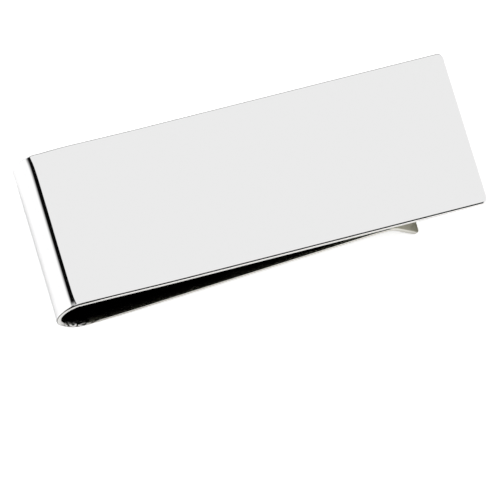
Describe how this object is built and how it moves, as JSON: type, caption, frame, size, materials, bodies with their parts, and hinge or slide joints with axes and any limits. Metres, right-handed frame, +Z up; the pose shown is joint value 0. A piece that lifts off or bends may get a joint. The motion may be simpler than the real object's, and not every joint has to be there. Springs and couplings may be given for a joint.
{
  "type": "money clip",
  "caption": "One-piece spring money clip: a polished silver strip bent into a hairpin, with a flat face plate, a round bow, a leaning leg and a flared lip.",
  "frame": {"origin": "on the table under the middle of the clip's outline, with the clip resting on the bottom of its bow and the tip of its lip", "axes": "+X along the clip towards the face plate's free end, +Y across the strip, +Z up from the table towards the face plate"},
  "size_m": [0.051, 0.0196, 0.0065],
  "materials": {
    "polished_silver": "mirror-polished sterling silver with fine handling scratches",
    "spring_silver": "bright sterling silver, a little tarnished where it faces inwards"
  },
  "bodies": {
    "face": {"face_plate": "polished_silver", "bow_shoulder": "polished_silver"},
    "bow": {"bow_crown": "polished_silver", "bow_heel": "polished_silver", "leg_root": "spring_silver"},
    "leg": {"spring_leg": "spring_silver", "pinch_land": "spring_silver", "entry_lip": "spring_silver"}
  },
  "joints": [
    {"name": "bow_flex", "type": "hinge", "parent": "face", "child": "bow", "pos_m": [-0.02473, 0, 0.00474], "axis": [0, 1, 0], "range_deg": [0, 4.4], "stiffness_Nm_per_rad": 1.45, "springref_deg": -0.11},
    {"name": "leg_flex", "type": "hinge", "parent": "bow", "child": "leg", "pos_m": [-0.01393, 0, 0.0011], "axis": [0, 1, 0], "range_deg": [0, 2.64], "stiffness_Nm_per_rad": 1.45, "springref_deg": -0.07}
  ],
  "couplings": [
    {"joint": "leg_flex", "follows": "bow_flex", "ratio": 0.6}
  ]
}
